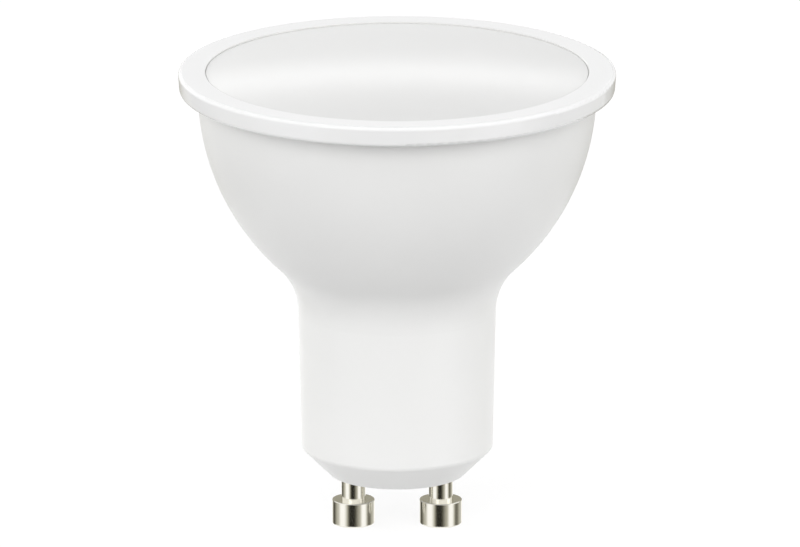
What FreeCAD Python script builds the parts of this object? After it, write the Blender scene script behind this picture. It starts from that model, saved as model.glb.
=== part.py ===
import FreeCAD, Part
import math
import os

# A reflector-shaped LED bulb with a twist-lock two-pin cap, in millimetres. It stands on its pins
# with +Z along its axis, towards the light. The pins lie on the X axis, and z is 0 at their tips.

Vector = FreeCAD.Vector
UP = Vector(0, 0, 1)
FORWARD = Vector(0, -1, 0)
CENTRE = Vector(0, 0, 0)

# Cap pins
pin_spacing = 10.0
pin_head_r = 2.45
pin_head_height = 2.9
pin_head_rounding = 0.25
pin_lip_rounding = 0.1
pin_neck_r = 1.39
pin_reach = 6.2  # from the base face to the pins' tips
pin_shank_r = 1.05
pin_rivet_r = 1.6
pin_rivet_height = 0.45
pin_rivet_rounding = 0.2
pin_tube_height = 0.8  # the end that grips the wire, above the rivet
pin_wire_depth = 1.0

# Housing: base, bevel, neck and cup are one moulding
base_face_r = 7.8
base_edge_rounding = 0.25
bevel_edge_rounding = 0.6
neck_foot_r = 10.95
neck_draft_deg = 1.2
neck_fillet_r = 7.9
cup_curve_r = 28.0
cup_curve_rise = 0.2  # the curve is upright this far inside the front ring
cup_mouth_r = 22.75
housing_wall = 1.4
base_floor = 1.8
boss_r = 2.0
boss_height = 2.2
rim_height = 0.7  # how far the housing's rim stands up inside the front ring
rim_bead = 0.18  # what the front ring snaps over
rim_bead_height = 0.4

# Front ring
ring_height = 2.3
ring_overhang = 2.25
ring_draft = 0.18
ring_face_width = 3.16
ring_top_rounding = 0.42
ring_bottom_rounding = 0.47
ring_inner_rounding = 0.12

# Diffuser
diffuser_rise = 1.2
diffuser_wall = 1.1
diffuser_flange = 0.65
diffuser_edge_rounding = 0.3

# Heat sink and light board
sink_wall = 0.8
sink_floor = 1.0
sink_corner_r = 1.2
sink_collar_height = 1.6
sink_collar_wall = 0.7
light_depth = 9.25  # from the light board's face to the ring's underside
light_board_thickness = 1.0
led_count = 8
led_edge_margin = 4.1  # from the middle of a package to the light board's edge
led_length = 3.5
led_width = 2.8
led_height = 0.7
led_window_margin = 0.35
led_window_rounding = 0.35
led_window_depth = 0.12

# Screws that hold the light board
screw_circle_r = 6.5
screw_r = 1.2
screw_tip_rounding = 0.3
screw_head_r = 2.1
screw_head_height = 1.3
screw_head_rounding = 0.65
screw_length = 4.6
cross_width = 0.5
cross_reach = 1.05
cross_depth = 0.7

# Driver board and the rails that hold it
driver_thickness = 1.2
driver_height = 21.4
driver_corner_r = 0.8
driver_above_pins = 3.2
driver_to_sink = 4.0
rail_depth = 1.5
rail_wall = 0.9
rail_height = 12.0

# Parts on the driver board
part_spacing = 0.4
rectifier_size = (3.9, 2.4, 4.7)
chip_size = (3.9, 1.5, 4.9)
package_chamfer = 0.3
lead_width = 0.45
lead_thickness = 0.2
lead_reach = 0.95
input_can_r = 3.15
input_can_length = 9.0
output_can_r = 2.5
output_can_length = 7.0
output_can_edge = 4.8  # from its axis to the board's side
can_groove = 0.25
can_groove_height = 1.6  # from the can's foot
can_rounding = 0.4
resistor_r = 1.3
resistor_length = 6.4
resistor_cap_length = 1.3
resistor_waist_r = 1.05
resistor_lead_r = 0.3
resistor_lead_reach = 1.3
core_r = 3.5
core_neck_r = 1.6
core_height = 5.4
core_flange = 1.0
winding_r = 3.0
winding_rounding = 0.35

# Wires
mains_wire_r = 0.45
mains_wire_straight = 0.8  # above the pin, before its first bend
mains_wire_rise = 3.0  # from the driver board's lower edge to where the wire lands
led_wire_r = 0.4
led_wire_drop = 3.5  # from the driver board's upper edge to where the wire starts
led_wire_hump = 1.6  # how far it rises above the light board
led_pads_x = 3.1  # midway between the two wires' pads on the driver board
led_pads_spacing = 3.2
led_pad_reach = 3.4  # from the slot out to where the wire lands
wire_stand_off = 1.5  # from the driver board's pads to a wire that runs beside it
wire_arc_share = 0.45  # how much of its shorter run each bend takes
solder_r = 0.8
solder_height = 0.45

# Clearances
close_fit = 0.03  # a shank or a wire in its hole
press_gap = 0.05  # flat faces that are clamped together
solder_gap = 0.05  # between a board and what is soldered to it
slide_fit = 0.1  # shells that nest, and the board in its rails
lens_gap = 0.02  # round the diffuser's visible edge, where it sits snugly in the ring
board_side_gap = 0.35
wire_side_gap = 0.6
cut_margin = 1.0  # how far a cutting solid runs past what it cuts

# Heights that follow from the sizes above, in order up the bulb
base_z = pin_reach
floor_z = base_z + base_floor
neck_foot_z = base_z + neck_foot_r - base_face_r
boss_top_z = floor_z + boss_height
rivet_top_z = boss_top_z + pin_rivet_height
tube_top_z = rivet_top_z + pin_tube_height
driver_bottom_z = tube_top_z + driver_above_pins
driver_top_z = driver_bottom_z + driver_height
sink_floor_z = driver_top_z + driver_to_sink
light_board_z = sink_floor_z + sink_floor
light_face_z = light_board_z + light_board_thickness
ring_bottom_z = light_face_z + light_depth
ring_top_z = ring_bottom_z + ring_height
cup_curve_z = ring_bottom_z + cup_curve_rise
rim_top_z = ring_bottom_z + rim_height
bead_foot_z = rim_top_z - rim_bead_height
bead_z = rim_top_z - rim_bead_height / 2
flange_bottom_z = rim_top_z + press_gap
flange_top_z = flange_bottom_z + diffuser_flange
lip_bottom_z = flange_top_z + press_gap

# Other places that follow
ring_r = cup_mouth_r + ring_overhang
lip_r = ring_r - ring_face_width
diffuser_r = lip_r - lens_gap
sink_outer = housing_wall + slide_fit
sink_inner = sink_outer + sink_wall
pads_y = driver_thickness / 2 + solder_gap
led_wire_x = led_wire_r + wire_side_gap / 2 + led_wire_r
neck_slope = math.tan(math.radians(neck_draft_deg))
pin_places = [(-pin_spacing / 2, 0), (pin_spacing / 2, 0)]
screw_places = [(0, -screw_circle_r), (0, screw_circle_r)]


def at(r, z):
    """A point of a profile, r from the axis and z up."""
    return Vector(r, 0, z)


def unit(vector):
    return vector * (1 / vector.Length)


def line(start, end):
    return Part.LineSegment(start, end).toShape()


def arc_about(centre, start, end):
    """The shorter arc about a centre from one point to another."""
    middle = unit(unit(start - centre) + unit(end - centre))
    top = centre + middle * (start - centre).Length
    return Part.Arc(start, top, end).toShape()


def rounded_path(corners):
    """Straight runs through (point, rounding) corners, joined by tangent arcs of those radii."""
    edges = []
    start = corners[0][0]
    for (before, _), (corner, rounding), (after, _) in zip(corners, corners[1:], corners[2:]):
        if rounding:
            back = unit(before - corner)
            forth = unit(after - corner)
            half = back.getAngle(forth) / 2
            centre = corner + unit(back + forth) * (rounding / math.sin(half))
            arc_start = corner + back * (rounding / math.tan(half))
            arc_end = corner + forth * (rounding / math.tan(half))
            edges += [line(start, arc_start), arc_about(centre, arc_start, arc_end)]
            start = arc_end
        else:
            edges.append(line(start, corner))
            start = corner
    edges.append(line(start, corners[-1][0]))
    return edges


def turned(edges):
    """The solid that a closed profile sweeps about the Z axis."""
    face = Part.Face(Part.Wire(Part.sortEdges(edges)[0]))
    return face.revolve(CENTRE, UP, 360)


def turned_corners(corners):
    """A turned solid from a closed list of (r, z, rounding) corners."""
    points = [(at(r, z), rounding) for r, z, rounding in corners]
    return turned(rounded_path(points + [points[0]]))


def cylinder(r, z0, z1, x=0.0, y=0.0):
    return Part.makeCylinder(r, z1 - z0, Vector(x, y, z0), UP)


def box(x0, x1, y0, y1, z0, z1):
    return Part.makeBox(x1 - x0, y1 - y0, z1 - z0, Vector(x0, y0, z0))


def slot(half_length, r, z0, z1):
    """A slot along X with round ends, as a solid to cut with."""
    ends = [cylinder(r, z0, z1, x) for x in (-half_length, half_length)]
    return box(-half_length, half_length, -r, r, z0, z1).fuse(ends).removeSplitter()


def edges_along(block, direction):
    """The edges of a block that run along one direction."""
    return [edge for edge in block.Edges if edge.tangentAt(0).cross(direction).Length < close_fit]


def skin_joints(inset):
    """Where the neck's line, its fillet and the cup's curve meet, for a skin set in from the outside.

    The fillet's centre is neck_fillet_r outside the neck's line and outside the cup's circle, so
    the three curves stay concentric or parallel at every inset.
    """
    along = unit(at(neck_slope, 1))
    outward = at(along.z, -along.x)
    cup_centre = at(cup_mouth_r - cup_curve_r, cup_curve_z)
    near = at(neck_foot_r, neck_foot_z) + outward * neck_fillet_r
    offset = near - cup_centre
    across = offset.dot(along)
    reach = cup_curve_r + neck_fillet_r
    run = -across - math.sqrt(across**2 - offset.Length**2 + reach**2)
    fillet_centre = near + along * run
    neck_joint = fillet_centre - outward * (neck_fillet_r + inset)
    cup_joint = fillet_centre + unit(cup_centre - fillet_centre) * (neck_fillet_r + inset)
    return neck_joint, cup_joint, fillet_centre, cup_centre


def neck_r(z, inset):
    """The neck's radius at a height, measured to a skin set in from the outside."""
    return neck_foot_r + neck_slope * (z - neck_foot_z) - inset * math.hypot(1, neck_slope)


def cup_r(z, inset):
    """The cup's radius at a height, on its large curve."""
    drop = cup_curve_z - z
    return cup_mouth_r - cup_curve_r + math.sqrt((cup_curve_r - inset) ** 2 - drop**2)


def skin(inset, foot_z):
    """The edges of the neck, its fillet and the cup, from a height on the neck to the mouth."""
    neck_joint, cup_joint, fillet_centre, cup_centre = skin_joints(inset)
    mouth = at(cup_mouth_r - inset, cup_curve_z)
    return [
        line(at(neck_r(foot_z, inset), foot_z), neck_joint),
        arc_about(fillet_centre, neck_joint, cup_joint),
        arc_about(cup_centre, cup_joint, mouth),
    ]


def housing_outside():
    """The solid outside of the housing, with the bead that the front ring snaps over."""
    above_bevel = neck_foot_z + bevel_edge_rounding
    foot = rounded_path([
        (at(0, base_z), 0),
        (at(base_face_r, base_z), base_edge_rounding),
        (at(neck_foot_r, neck_foot_z), bevel_edge_rounding),
        (at(neck_r(above_bevel, 0), above_bevel), 0),
    ])
    rim = rounded_path([
        (at(cup_mouth_r, cup_curve_z), 0),
        (at(cup_mouth_r, bead_foot_z), 0),
        (at(cup_mouth_r + rim_bead, bead_z), 0),
        (at(cup_mouth_r, rim_top_z), 0),
        (at(0, rim_top_z), 0),
        (at(0, base_z), 0),
    ])
    return turned(foot + skin(0, above_bevel) + rim)


def housing_inside(inset):
    """The hollow inside a wall as thick as the inset, above the floor."""
    floor_r = base_face_r + base_floor - inset * math.sqrt(2)
    corner_z = floor_z + (neck_r(floor_z, inset) - floor_r) / (1 - neck_slope)
    mouth_r = cup_mouth_r - inset
    floor = rounded_path([
        (at(0, rim_top_z), 0),
        (at(0, floor_z), 0),
        (at(floor_r, floor_z), 0),
        (at(neck_r(corner_z, inset), corner_z), 0),
    ])
    rim = rounded_path([
        (at(mouth_r, cup_curve_z), 0),
        (at(mouth_r, rim_top_z), 0),
        (at(0, rim_top_z), 0),
    ])
    return turned(floor + skin(inset, corner_z) + rim)


def driver_half_width():
    return neck_r(driver_bottom_z, housing_wall) - board_side_gap


def driver_rails():
    """Two channels up the neck's inside wall. The board slides down them onto the step in each."""
    inner_x = driver_half_width() - rail_depth
    groove = driver_thickness / 2 + slide_fit
    solids = []
    for side in (-1, 1):
        x0, x1 = sorted((side * inner_x, side * neck_foot_r))
        for y0 in (groove, -groove - rail_wall):
            solids.append(box(x0, x1, y0, y0 + rail_wall, floor_z, driver_bottom_z + rail_height))
        solids.append(box(x0, x1, -groove, groove, floor_z, driver_bottom_z - press_gap))
    return solids


def housing():
    shell = housing_outside().cut(housing_inside(housing_wall))
    reach_into_wall = housing_inside(housing_wall / 2)
    rails = [rail.common(reach_into_wall) for rail in driver_rails()]
    bosses = [cylinder(boss_r, floor_z - base_floor / 2, boss_top_z, x, y) for x, y in pin_places]
    hole_r = pin_shank_r + close_fit
    holes = [
        cylinder(hole_r, base_z - cut_margin, boss_top_z + cut_margin, x, y)
        for x, y in pin_places
    ]
    return shell.fuse(rails + bosses).removeSplitter().cut(holes)


def pin(place):
    """A turned pin: head, neck, the shank in the base, the rivet above it and a drilled end."""
    hole_r = mains_wire_r + close_fit
    solid = turned_corners([
        (0, 0, 0),
        (pin_head_r, 0, pin_head_rounding),
        (pin_head_r, pin_head_height, pin_lip_rounding),
        (pin_neck_r, pin_head_height, 0),
        (pin_neck_r, base_z, 0),
        (pin_shank_r, base_z, 0),
        (pin_shank_r, boss_top_z, 0),
        (pin_rivet_r, boss_top_z, 0),
        (pin_rivet_r, rivet_top_z, pin_rivet_rounding),
        (pin_shank_r, rivet_top_z, 0),
        (pin_shank_r, tube_top_z, 0),
        (hole_r, tube_top_z, 0),
        (hole_r, tube_top_z - pin_wire_depth, 0),
        (0, tube_top_z - pin_wire_depth, 0),
    ])
    solid.translate(Vector(*place, 0))
    return solid


def front_ring():
    """The flange round the front. Its groove snaps over the housing's bead."""
    bore_r = cup_mouth_r + slide_fit
    return turned_corners([
        (bore_r, ring_bottom_z, 0),
        (ring_r - ring_draft, ring_bottom_z, ring_bottom_rounding),
        (ring_r, ring_top_z, ring_top_rounding),
        (lip_r, ring_top_z, ring_inner_rounding),
        (lip_r, lip_bottom_z, 0),
        (bore_r, lip_bottom_z, 0),
        (bore_r, rim_top_z, 0),
        (bore_r + rim_bead, bead_z, 0),
        (bore_r, bead_foot_z, 0),
    ])


def dome_arc(r, edge_z):
    """The diffuser's shallow arc, from a point on its edge up to the axis."""
    sphere_r = (r**2 + diffuser_rise**2) / (2 * diffuser_rise)
    top = at(0, edge_z + diffuser_rise)
    return arc_about(top - at(0, sphere_r), at(r, edge_z), top)


def diffuser():
    """A domed disc with a flange that is clamped between the housing's rim and the ring's lip."""
    flange_r = cup_mouth_r - slide_fit
    inner_r = diffuser_r - diffuser_wall
    inner_edge_z = ring_top_z - diffuser_wall
    dome_r = diffuser_r - diffuser_edge_rounding
    edge_z = ring_top_z - diffuser_edge_rounding
    edge = arc_about(at(dome_r, edge_z), at(dome_r, ring_top_z), at(diffuser_r, edge_z))
    side = rounded_path([
        (at(diffuser_r, edge_z), 0),
        (at(diffuser_r, flange_top_z), 0),
        (at(flange_r, flange_top_z), 0),
        (at(flange_r, flange_bottom_z), 0),
        (at(inner_r, flange_bottom_z), 0),
        (at(inner_r, inner_edge_z), 0),
    ])
    axis = line(at(0, ring_top_z + diffuser_rise), at(0, inner_edge_z + diffuser_rise))
    return turned(side + [edge, dome_arc(dome_r, ring_top_z), dome_arc(inner_r, inner_edge_z), axis])


def wire_slot(gap, z0, z1):
    """The slot that both light-board wires pass through."""
    return slot(led_wire_x, led_wire_r + gap, z0, z1)


def heat_sink():
    """A pressed cup that follows the housing's inside, with a flat floor for the light board."""
    centre = at(cup_mouth_r - cup_curve_r, cup_curve_z)
    low_outer = at(cup_r(sink_floor_z, sink_outer), sink_floor_z)
    low_inner = at(cup_r(light_board_z, sink_inner), light_board_z)
    top_outer = at(cup_mouth_r - sink_outer, cup_curve_z)
    top_inner = at(cup_mouth_r - sink_inner, cup_curve_z)
    cup = turned([
        line(at(0, sink_floor_z), low_outer),
        arc_about(centre, low_outer, top_outer),
        line(top_outer, top_inner),
        arc_about(centre, top_inner, low_inner),
        line(low_inner, at(0, light_board_z)),
        line(at(0, light_board_z), at(0, sink_floor_z)),
    ])
    circles = [edge for edge in cup.Edges if isinstance(edge.Curve, Part.Circle)]
    floor_edge = min(circles, key=lambda edge: edge.CenterOfMass.z)
    cup = cup.makeFillet(sink_corner_r, [floor_edge])
    hole_r = screw_r + close_fit
    low_z = sink_floor_z - sink_collar_height
    high_z = light_board_z + cut_margin
    collars = [
        cylinder(hole_r + sink_collar_wall, low_z, light_board_z, x, y)
        for x, y in screw_places
    ]
    holes = [cylinder(hole_r, low_z - cut_margin, high_z, x, y) for x, y in screw_places]
    holes.append(wire_slot(wire_side_gap, low_z, high_z))
    return cup.fuse(collars).removeSplitter().cut(holes)


def light_board_r():
    return cup_r(light_board_z, sink_inner) - 2 * slide_fit


def light_board():
    """A round board with holes for its screws and a slot for its wires."""
    low_z = light_board_z + press_gap
    disc = cylinder(light_board_r(), low_z, light_face_z)
    low_cut = low_z - cut_margin
    high_cut = light_face_z + cut_margin
    holes = [cylinder(screw_r + slide_fit, low_cut, high_cut, x, y) for x, y in screw_places]
    holes.append(wire_slot(wire_side_gap / 2, low_cut, high_cut))
    return disc.cut(holes)


def led(index):
    """A white package with a shallow window, turned so that its length points at the axis."""
    x = led_length / 2
    y = led_width / 2
    low_z = light_face_z + solder_gap
    high_z = low_z + led_height
    margin = led_window_margin
    window_z = high_z - led_window_depth
    window = box(margin - x, x - margin, margin - y, y - margin, window_z, high_z + cut_margin)
    window = window.makeFillet(led_window_rounding, edges_along(window, UP))
    solid = box(-x, x, -y, y, low_z, high_z).cut(window)
    solid.translate(Vector(light_board_r() - led_edge_margin, 0, 0))
    solid.rotate(CENTRE, UP, 360 * (index + 0.5) / led_count)
    return solid


def screw(place):
    """A pan-head screw with a cross recess. Its thread is left plain."""
    seat_z = light_face_z + press_gap
    tip_z = seat_z - screw_length
    top_z = seat_z + screw_head_height
    solid = turned_corners([
        (0, tip_z, 0),
        (screw_r, tip_z, screw_tip_rounding),
        (screw_r, seat_z, 0),
        (screw_head_r, seat_z, 0),
        (screw_head_r, top_z, screw_head_rounding),
        (0, top_z, 0),
    ])
    half = cross_width / 2
    low_z = top_z - cross_depth
    high_z = top_z + cut_margin
    along_x = box(-cross_reach, cross_reach, -half, half, low_z, high_z)
    along_y = box(-half, half, -cross_reach, cross_reach, low_z, high_z)
    solid = solid.cut(along_x.fuse(along_y))
    solid.translate(Vector(*place, 0))
    return solid


def board_screws():
    return Part.makeCompound([screw(place) for place in screw_places])


def driver_board():
    """A flat board that stands on edge in the neck, with rounded corners."""
    x = driver_half_width()
    y = driver_thickness / 2
    board = box(-x, x, -y, y, driver_bottom_z, driver_top_z)
    return board.makeFillet(driver_corner_r, edges_along(board, FORWARD))


def surface_part(size, lead_rows, z):
    """A moulded package on the board's front, with a row of bent leads down each side."""
    width, depth, height = size
    low_z = z - height / 2
    front_y = -pads_y - depth
    body = box(-width / 2, width / 2, front_y, -pads_y, low_z, low_z + height)
    front = [edge for edge in body.Edges if math.isclose(edge.CenterOfMass.y, front_y)]
    body = body.makeChamfer(package_chamfer, front)
    pitch = height / lead_rows
    leads = []
    for row in range(lead_rows):
        lead_z = low_z + pitch * (row + 0.5) - lead_width / 2
        leads += [bent_lead(side, width / 2, depth / 2, lead_z) for side in (-1, 1)]
    return body.fuse(leads).removeSplitter()


def bent_lead(side, root, rise, z):
    """A flat lead that leaves the package level, drops to the board and turns out along it."""
    drop_x = root + lead_reach / 2
    outline = [
        (root - lead_thickness, rise + lead_thickness),
        (drop_x, rise + lead_thickness),
        (drop_x, lead_thickness),
        (root + lead_reach, lead_thickness),
        (root + lead_reach, 0),
        (drop_x - lead_thickness, 0),
        (drop_x - lead_thickness, rise),
        (root - lead_thickness, rise),
    ]
    points = [Vector(side * out, -pads_y - up, z) for out, up in outline]
    face = Part.Face(Part.makePolygon(points + points[:1]))
    return face.extrude(UP * lead_width)


def can(r, length, x, side, z):
    """A capacitor can that lies against the board, with the crimped groove near its foot."""
    body = turned_corners([
        (0, 0, 0),
        (r, 0, can_rounding),
        (r, can_groove_height - can_groove, 0),
        (r - can_groove, can_groove_height, 0),
        (r, can_groove_height + can_groove, 0),
        (r, length, can_rounding),
        (0, length, 0),
    ])
    body.translate(Vector(x, side * (pads_y + r), z))
    return body


def input_capacitor():
    return can(input_can_r, input_can_length, 0, 1, driver_bottom_z + part_spacing)


def output_capacitor():
    foot_z = driver_top_z - output_can_length - part_spacing
    x = output_can_edge - driver_half_width()
    return can(output_can_r, output_can_length, x, -1, foot_z)


def fuse_resistor():
    """A dumbbell body against the board, with a lead from each end bent back to it."""
    half = resistor_length / 2
    neck = half - resistor_cap_length
    low_lead_z = driver_bottom_z + mains_wire_rise + solder_r + part_spacing + resistor_lead_r
    z = low_lead_z + resistor_lead_reach + half
    x = driver_half_width() - rail_depth - resistor_r - part_spacing
    y = -pads_y - resistor_r
    body = turned_corners([
        (0, -half, 0),
        (resistor_r, -half, can_rounding),
        (resistor_r, -neck, 0),
        (resistor_waist_r, -neck, 0),
        (resistor_waist_r, neck, 0),
        (resistor_r, neck, 0),
        (resistor_r, half, can_rounding),
        (0, half, 0),
    ])
    body.translate(Vector(x, y, z))
    leads = []
    for side in (-1, 1):
        tip_z = z + side * (half + resistor_lead_reach)
        route = [Vector(x, y, z + side * neck), Vector(x, y, tip_z), Vector(x, -pads_y, tip_z)]
        leads.append(round_wire(route, resistor_lead_r))
    return body.fuse(leads).removeSplitter()


def turned_on_board(corners):
    """A turned solid whose axis stands out of the board's back, near its upper edge."""
    solid = turned_corners(corners)
    solid.rotate(CENTRE, Vector(1, 0, 0), -90)
    solid.translate(Vector(0, pads_y, driver_top_z - core_r - part_spacing))
    return solid


def inductor_core():
    """A ferrite bobbin: two flanges on a neck."""
    return turned_on_board([
        (0, 0, 0),
        (core_r, 0, 0),
        (core_r, core_flange, 0),
        (core_neck_r, core_flange, 0),
        (core_neck_r, core_height - core_flange, 0),
        (core_r, core_height - core_flange, 0),
        (core_r, core_height, 0),
        (0, core_height, 0),
    ])


def inductor_winding():
    """The copper winding between the bobbin's flanges, as one ring."""
    low = core_flange + press_gap
    high = core_height - core_flange - press_gap
    return turned_on_board([
        (core_neck_r + press_gap, low, 0),
        (winding_r, low, winding_rounding),
        (winding_r, high, winding_rounding),
        (core_neck_r + press_gap, high, 0),
    ])


def rectifier_z():
    return driver_bottom_z + part_spacing + rectifier_size[2] / 2


def chip_z():
    return rectifier_z() + rectifier_size[2] / 2 + part_spacing + chip_size[2] / 2


def bridge_rectifier():
    return surface_part(rectifier_size, 2, rectifier_z())


def driver_chip():
    return surface_part(chip_size, 4, chip_z())


def round_wire(route, r):
    """A tube along straight runs joined by tangent arcs, each as large as its two runs allow."""
    corners = [(route[0], 0)]
    for before, corner, after in zip(route, route[1:], route[2:]):
        back = before - corner
        forth = after - corner
        half_turn = (math.pi - back.getAngle(forth)) / 2
        shorter = min(back.Length, forth.Length)
        corners.append((corner, wire_arc_share * shorter / math.tan(half_turn)))
    corners.append((route[-1], 0))
    print("wire radii", [round(rounding, 2) for _, rounding in corners[1:-1]])
    section = Part.Wire(Part.makeCircle(r, route[0], unit(route[1] - route[0])))
    return Part.Wire(rounded_path(corners)).makePipeShell([section], True, False)


def soldered_end(point, heading, r):
    """The cone of solder where a wire meets a board, its wide end on the board."""
    return Part.makeCone(solder_r, r, solder_height, point, heading)


def mains_wire(place):
    """From a pin's drilled end up past the board's edge, then in to its front."""
    x, y = place
    beside_y = -pads_y - wire_stand_off
    land_z = driver_bottom_z + mains_wire_rise
    end = Vector(x, -pads_y, land_z)
    route = [
        Vector(x, y, tube_top_z - pin_wire_depth + close_fit),
        Vector(x, y, tube_top_z + mains_wire_straight),
        Vector(x, beside_y, driver_bottom_z),
        Vector(x, beside_y, land_z),
        end,
    ]
    wire = round_wire(route, mains_wire_r)
    return wire.fuse(soldered_end(end, FORWARD, mains_wire_r)).removeSplitter()


def led_wire(side):
    """From the driver board's front up through both slots, over and down to the light board."""
    start = Vector(led_pads_x + side * led_pads_spacing / 2, -pads_y, driver_top_z - led_wire_drop)
    end = Vector(side * (led_wire_x + led_pad_reach), 0, light_face_z + solder_gap)
    beside_y = -pads_y - wire_stand_off
    over_z = light_face_z + led_wire_hump
    route = [
        start,
        Vector(start.x, beside_y, start.z),
        Vector(start.x, beside_y, driver_top_z + led_wire_r),
        Vector(side * led_wire_x, 0, sink_floor_z - led_wire_r),
        Vector(side * led_wire_x, 0, over_z),
        Vector(end.x, 0, over_z),
        end,
    ]
    solder = [soldered_end(start, FORWARD, led_wire_r), soldered_end(end, UP, led_wire_r)]
    return round_wire(route, led_wire_r).fuse(solder).removeSplitter()


nodes = {
    "housing": housing(),
    "heat_sink": heat_sink(),
    "light_board": light_board(),
    "board_screws": board_screws(),
    "front_ring": front_ring(),
    "diffuser": diffuser(),
    "driver_board": driver_board(),
    "bridge_rectifier": bridge_rectifier(),
    "driver_chip": driver_chip(),
    "fuse_resistor": fuse_resistor(),
    "input_capacitor": input_capacitor(),
    "output_capacitor": output_capacitor(),
    "inductor_core": inductor_core(),
    "inductor_winding": inductor_winding(),
    "pin_left": pin(pin_places[0]),
    "pin_right": pin(pin_places[1]),
    "wire_live": mains_wire(pin_places[0]),
    "wire_neutral": mains_wire(pin_places[1]),
    "wire_led_plus": led_wire(1),
    "wire_led_minus": led_wire(-1),
}
for index in range(led_count):
    nodes[f"led_{index + 1}"] = led(index)

os.makedirs("parts", exist_ok=True)
for name, shape in nodes.items():
    shape.exportStep(f"parts/{name}.step")
    print(name, len(shape.Solids), "solids", round(shape.Volume, 2), "mm3, valid", shape.isValid())
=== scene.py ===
import math
import bpy
import numpy as np
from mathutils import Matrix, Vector


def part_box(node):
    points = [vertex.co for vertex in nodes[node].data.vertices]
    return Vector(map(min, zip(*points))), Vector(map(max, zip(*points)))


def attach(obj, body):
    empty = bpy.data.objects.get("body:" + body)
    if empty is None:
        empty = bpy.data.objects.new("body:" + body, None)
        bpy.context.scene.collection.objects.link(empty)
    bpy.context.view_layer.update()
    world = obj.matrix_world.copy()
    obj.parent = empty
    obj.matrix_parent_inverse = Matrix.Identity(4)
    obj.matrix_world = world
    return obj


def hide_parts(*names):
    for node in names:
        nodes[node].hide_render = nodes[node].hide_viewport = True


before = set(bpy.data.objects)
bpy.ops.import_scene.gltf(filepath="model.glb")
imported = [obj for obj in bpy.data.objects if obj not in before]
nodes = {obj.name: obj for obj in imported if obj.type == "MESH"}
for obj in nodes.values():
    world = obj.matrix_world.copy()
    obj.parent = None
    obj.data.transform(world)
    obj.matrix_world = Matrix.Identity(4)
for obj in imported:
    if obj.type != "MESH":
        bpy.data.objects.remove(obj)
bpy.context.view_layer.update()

# A reflector-shaped LED bulb with a twist-lock two-pin cap. It stands on its pins, +Z along its axis.
mm = 0.001


def spanOf(name):
    # a node's lowest corner, its highest corner and the middle between them, in metres
    low, high = (np.array(corner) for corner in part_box(name))
    return low, high, (low + high) / 2


def linear(hexColour):
    # sRGB to linear light: each channel over 12.92 near black, else ((c + 0.055) / 1.055) to the power 2.4
    channels = [int(hexColour[i:i + 2], 16) / 255 for i in (1, 3, 5)]
    return [c / 12.92 if c <= 0.04045 else ((c + 0.055) / 1.055) ** 2.4 for c in channels] + [1.0]


def addNode(tree, kind, settings, links=None):
    # one shader node: a setting in small letters is its own property, any other a socket's value; what is
    # linked is a socket, or a node whose first output in use is taken
    node = tree.nodes.new("ShaderNode" + kind)
    for name, value in settings.items():
        if str(name)[0].islower():
            setattr(node, name, value)
        else:
            node.inputs[name].default_value = value
    for name, source in (links or {}).items():
        if isinstance(source, bpy.types.Node):
            source = next(socket for socket in source.outputs if socket.enabled)
        tree.links.new(source, node.inputs[name])
    return node


def newMaterial(name):
    # an empty node tree, and the place on the object that every pattern starts from
    material = bpy.data.materials.new(name)
    material.use_nodes = True
    tree = material.node_tree
    tree.nodes.clear()
    return material, tree, addNode(tree, "TexCoord", {}).outputs["Object"]


# Bare tinned metal, bright but soft, where a material leaves it showing: leads, terminals and solder.
tin = {"colour": "#C9CACB", "roughness": 0.25}


def coat(tree, look, shade, height, metal=None):
    # the end of each material: height * depth bends the light, and where metal is 1 the surface is bare tin
    bump = addNode(tree, "Bump", {"Distance": look["depth"] * mm}, {"Height": height})
    sockets = {"roughness": "Roughness", "ior": "IOR", "metallic": "Metallic"}
    settings = {socket: look[key] for key, socket in sockets.items() if key in look}
    links = {"Base Color": shade, "Normal": bump}
    if metal:
        links["Base Color"] = addNode(tree, "Mix", {"data_type": "RGBA", 7: linear(tin["colour"])},
                                      {0: metal, 6: shade})
        links["Roughness"] = addNode(tree, "MapRange", {3: look["roughness"], 4: tin["roughness"]},
                                     {0: metal})
        links["Metallic"] = metal
    shader = addNode(tree, "BsdfPrincipled", settings, links)
    addNode(tree, "OutputMaterial", {}, {"Surface": shader})


noiseDetail = {"slow": 2.0, "fine": 3.0}  # octaves of the slow noise and of the fine one


def grain(tree, look, place):
    # two shades mixed by slow noise, and the height of a fine one; patch and grain are in millimetres
    patches = {"Scale": 1 / (look["patch"] * mm), "Detail": noiseDetail["slow"]}
    grains = {"Scale": 1 / (look["grain"] * mm), "Detail": noiseDetail["fine"]}
    slow = addNode(tree, "TexNoise", patches, {"Vector": place})
    fine = addNode(tree, "TexNoise", grains, {"Vector": place})
    shades = {"data_type": "RGBA", 6: linear(look["colour"]), 7: linear(look["shade"])}
    shade = addNode(tree, "Mix", shades, {0: slow})
    return shade, fine


def evenFinish(name, look):
    # a finish that is the same all over: its grain and nothing else
    material, tree, place = newMaterial(name)
    shade, height = grain(tree, look, place)
    coat(tree, look, shade, height)
    return material


def aroundAxis(tree, place, x=0.0, y=0.0):
    # what a pattern about an upright axis needs: the offset's parts, the flat offset and the distance
    offset = addNode(tree, "Mapping", {"Location": (-x, -y, 0)}, {"Vector": place})
    parts = addNode(tree, "SeparateXYZ", {}, {"Vector": offset}).outputs
    flat = addNode(tree, "VectorMath", {"operation": "MULTIPLY", 1: (1, 1, 0)}, {0: offset})
    return parts, flat, addNode(tree, "VectorMath", {"operation": "LENGTH"}, {0: flat})


def dress(names, material):
    # CAD nodes get one material all over
    for name in names:
        mesh = nodes[name].data
        mesh.materials.clear()
        mesh.materials.append(material)
        mesh.polygons.foreach_set("material_index", np.zeros(len(mesh.polygons), np.int32))


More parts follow.
